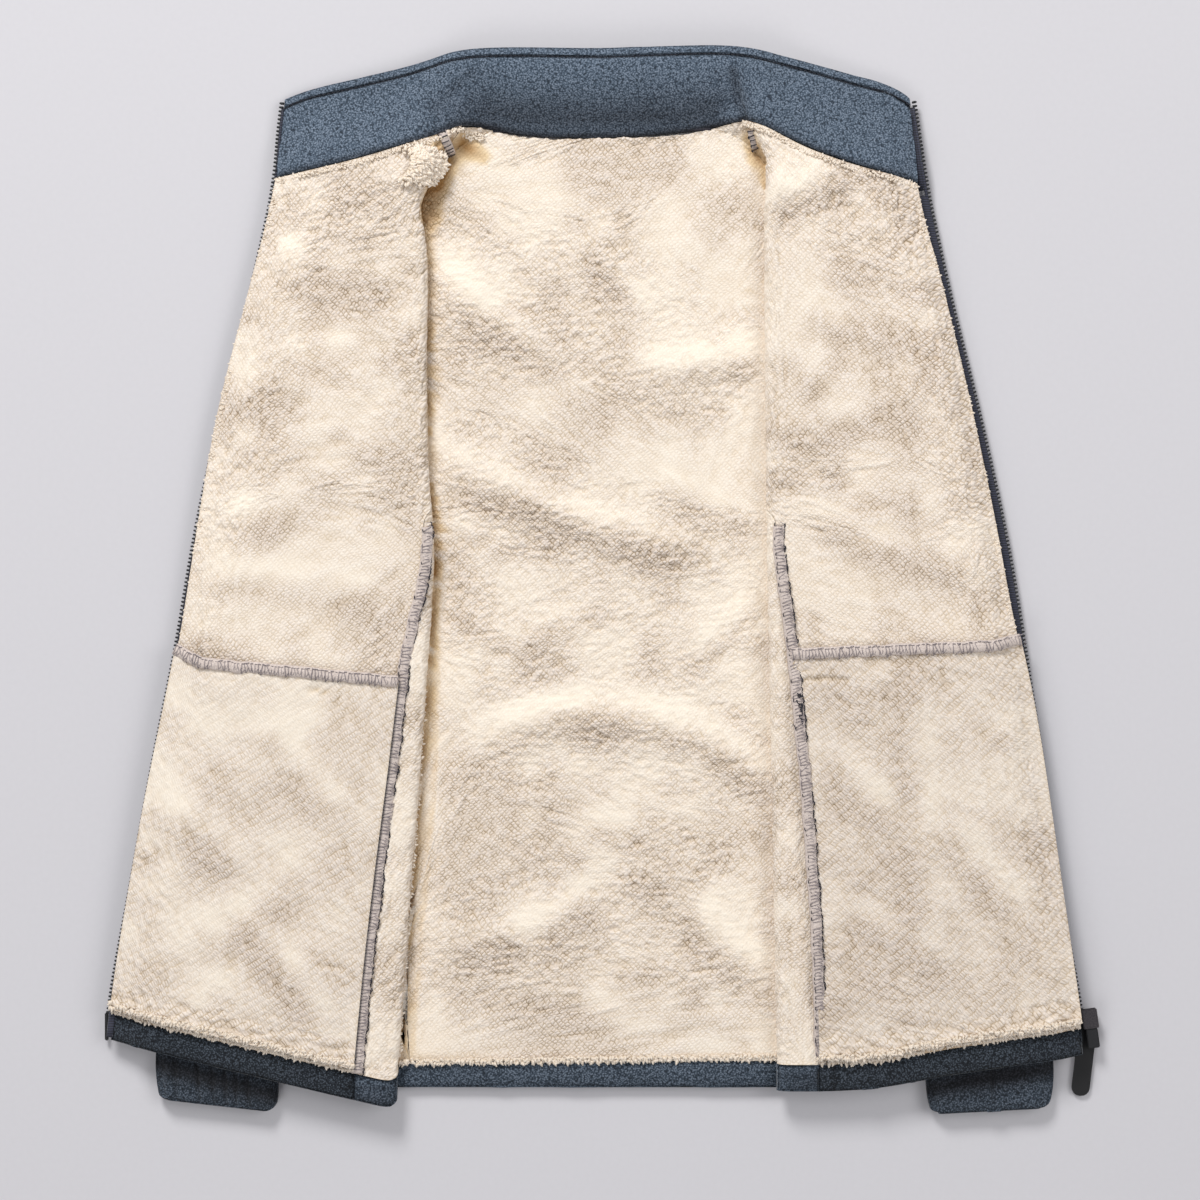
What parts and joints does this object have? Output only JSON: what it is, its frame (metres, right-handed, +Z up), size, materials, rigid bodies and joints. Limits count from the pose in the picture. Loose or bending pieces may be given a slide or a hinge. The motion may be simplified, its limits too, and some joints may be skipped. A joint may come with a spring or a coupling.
{
  "type": "fleece jacket",
  "caption": "Zip-up fleece jacket with a curly pile lining, stand collar, pocket bags, hem bands and cuffs, laid open on its back with both fronts folded out over the sleeves.",
  "frame": {"origin": "on the back panel's underside near its middle, on the plane the jacket rests on", "axes": "+X towards the wearer's left, +Y towards the collar, +Z up, out of the lining"},
  "size_m": [0.7186, 0.7699, 0.028],
  "materials": {
    "pile": "cream curly pile, matte",
    "pocket_pile": "cream brushed pile, matte",
    "fleece": "blue-grey pebbled fleece, matte",
    "zip_tape": "navy woven tape",
    "zip_teeth": "black moulded plastic",
    "gunmetal": "dark gunmetal",
    "pull_rubber": "black soft rubber"
  },
  "bodies": {
    "jacket": {"back": "pile", "front_right": "pile", "front_left": "pile", "pocket_bag_right": "pocket_pile", "pocket_bag_left": "pocket_pile", "sleeve_right": "fleece", "sleeve_left": "fleece", "cuff_right": "fleece", "cuff_left": "fleece", "collar_inner": "fleece", "collar_outer": "fleece", "hem_right": "fleece", "hem_back": "fleece", "hem_left": "fleece", "zip_tape_right": "zip_tape", "zip_tape_left": "zip_tape", "zip_chain_right": "zip_teeth", "zip_chain_left": "zip_teeth", "zip_box": "zip_teeth", "zip_pin": "zip_teeth", "zip_slider": "gunmetal"},
    "pull_tab": {"zip_pull_tab": "pull_rubber"}
  },
  "joints": [
    {"name": "pull_tab_swing", "type": "hinge", "parent": "jacket", "child": "pull_tab", "pos_m": [0.3535, -0.302, 0.0038], "axis": [0.9936, -0.1132, 0], "range_deg": [0, 165]}
  ]
}
